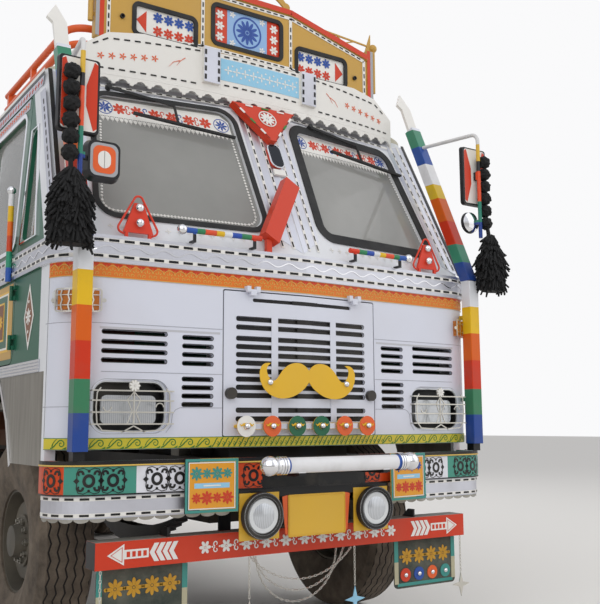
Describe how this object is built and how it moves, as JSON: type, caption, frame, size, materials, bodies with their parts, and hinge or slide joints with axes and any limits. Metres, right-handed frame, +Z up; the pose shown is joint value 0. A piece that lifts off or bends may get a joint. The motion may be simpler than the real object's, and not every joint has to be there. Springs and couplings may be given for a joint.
{
  "type": "decorated goods truck",
  "caption": "Forward-control two-axle goods truck with twin rear wheels, high-sided body, decorated cab, visor and crown board, hinged doors, front hatch and tailgate.",
  "frame": {"origin": "centre of the whole outline on the ground plane", "axes": "+Z up, -Y out of the front of the cab, +X to the truck's left side"},
  "size_m": [2.6226, 7.362, 3.6799],
  "materials": {
    "white_paint": "gloss",
    "green_paint": "gloss",
    "roof_paint": "gloss",
    "ochre_paint": "gloss",
    "red_paint": "gloss",
    "yellow_paint": "gloss",
    "striped_paint": "gloss",
    "chassis_paint": "satin",
    "bed_paint": "satin",
    "wheel_paint": "satin",
    "block_metal": "matte",
    "stainless": "satin",
    "chrome": "polished",
    "tyre": "matte",
    "flap_rubber": "matte",
    "clear_glass": "clear",
    "lamp_lens": "gloss",
    "tail_lens": "gloss",
    "yarn": "matte",
    "seat_cloth": "matte",
    "trim_plastic": "matte"
  },
  "bodies": {
    "truck": {"belt_ornaments": "red_paint", "bumper": "red_paint", "bumper_tube": "white_paint", "cab_roof": "roof_paint", "cab_shell": "green_paint", "centre_ornament": "red_paint", "chassis_frame": "chassis_paint", "crown_board": "ochre_paint", "crown_ornaments": "ochre_paint", "dashboard": "trim_plastic", "drive_axle": "chassis_paint", "engine": "block_metal", "exhaust": "stainless", "fog_lamps": "lamp_lens", "front_axle_beam": "chassis_paint", "front_chains": "chrome", "front_lamps": "lamp_lens", "front_panel": "white_paint", "front_plates": "yellow_paint", "lamp_guards": "stainless", "leaf_springs": "chassis_paint", "load_bed": "bed_paint", "load_walls": "ochre_paint", "mirrors": "striped_paint", "mud_flaps": "flap_rubber", "rear_bumper": "chassis_paint", "roof_rack": "striped_paint", "screen_trim": "flap_rubber", "seats": "seat_cloth", "side_boxes": "chassis_paint", "side_glass": "clear_glass", "step_board": "red_paint", "striped_poles": "striped_paint", "tail_lamps": "tail_lens", "tassels": "yarn", "visor": "white_paint", "visor_fringe": "stainless", "windscreens": "clear_glass"},
    "knuckle_left": {"knuckle_left": "chassis_paint"},
    "front_wheel_left": {"front_wheel_left": "wheel_paint", "front_tyre_left": "tyre"},
    "rear_wheels_left": {"rear_wheels_left": "wheel_paint", "rear_tyres_left": "tyre"},
    "door_left": {"door_left": "green_paint", "door_glass_left": "clear_glass"},
    "knuckle_right": {"knuckle_right": "chassis_paint"},
    "front_wheel_right": {"front_wheel_right": "wheel_paint", "front_tyre_right": "tyre"},
    "rear_wheels_right": {"rear_wheels_right": "wheel_paint", "rear_tyres_right": "tyre"},
    "door_right": {"door_right": "green_paint", "door_glass_right": "clear_glass"},
    "track_rod": {"track_rod": "chassis_paint"},
    "hatch": {"grille_hatch": "white_paint", "hatch_ornaments": "yellow_paint"},
    "tailgate": {"tailgate": "ochre_paint"}
  },
  "joints": [
    {"name": "steer_left", "type": "hinge", "parent": "truck", "child": "knuckle_left", "pos_m": [0.835, -2.285, 0.527], "axis": [0, 0, 1], "range_deg": [-33, 33]},
    {"name": "steer_right", "type": "hinge", "parent": "truck", "child": "knuckle_right", "pos_m": [-0.835, -2.285, 0.527], "axis": [0, 0, 1], "range_deg": [-33, 33]},
    {"name": "track_rod_swing", "type": "hinge", "parent": "knuckle_left", "child": "track_rod", "pos_m": [0.835, -2.095, 0.426], "axis": [0, 0, 1], "range_deg": [-33, 33]},
    {"name": "front_spin_left", "type": "hinge", "parent": "knuckle_left", "child": "front_wheel_left", "pos_m": [0.965, -2.285, 0.527], "axis": [1, 0, 0], "continuous": true},
    {"name": "front_spin_right", "type": "hinge", "parent": "knuckle_right", "child": "front_wheel_right", "pos_m": [-0.965, -2.285, 0.527], "axis": [1, 0, 0], "continuous": true},
    {"name": "rear_spin_left", "type": "hinge", "parent": "truck", "child": "rear_wheels_left", "pos_m": [0.9, 1.94, 0.527], "axis": [1, 0, 0], "continuous": true},
    {"name": "rear_spin_right", "type": "hinge", "parent": "truck", "child": "rear_wheels_right", "pos_m": [-0.9, 1.94, 0.527], "axis": [1, 0, 0], "continuous": true},
    {"name": "door_left_swing", "type": "hinge", "parent": "truck", "child": "door_left", "pos_m": [1.228, -2.603, 2], "axis": [0, 0, -1], "range_deg": [0, 65]},
    {"name": "door_right_swing", "type": "hinge", "parent": "truck", "child": "door_right", "pos_m": [-1.228, -2.603, 2], "axis": [0, 0, 1], "range_deg": [0, 65]},
    {"name": "hatch_lift", "type": "hinge", "parent": "truck", "child": "hatch", "pos_m": [0, -3.34, 1.73], "axis": [-1, 0, 0], "range_deg": [0, 70]},
    {"name": "tailgate_drop", "type": "hinge", "parent": "truck", "child": "tailgate", "pos_m": [0, 3.659, 1.262], "axis": [-1, 0, 0], "range_deg": [0, 175]}
  ],
  "couplings": [
    {"joint": "steer_right", "follows": "steer_left", "ratio": 1},
    {"joint": "track_rod_swing", "follows": "steer_left", "ratio": -1}
  ]
}
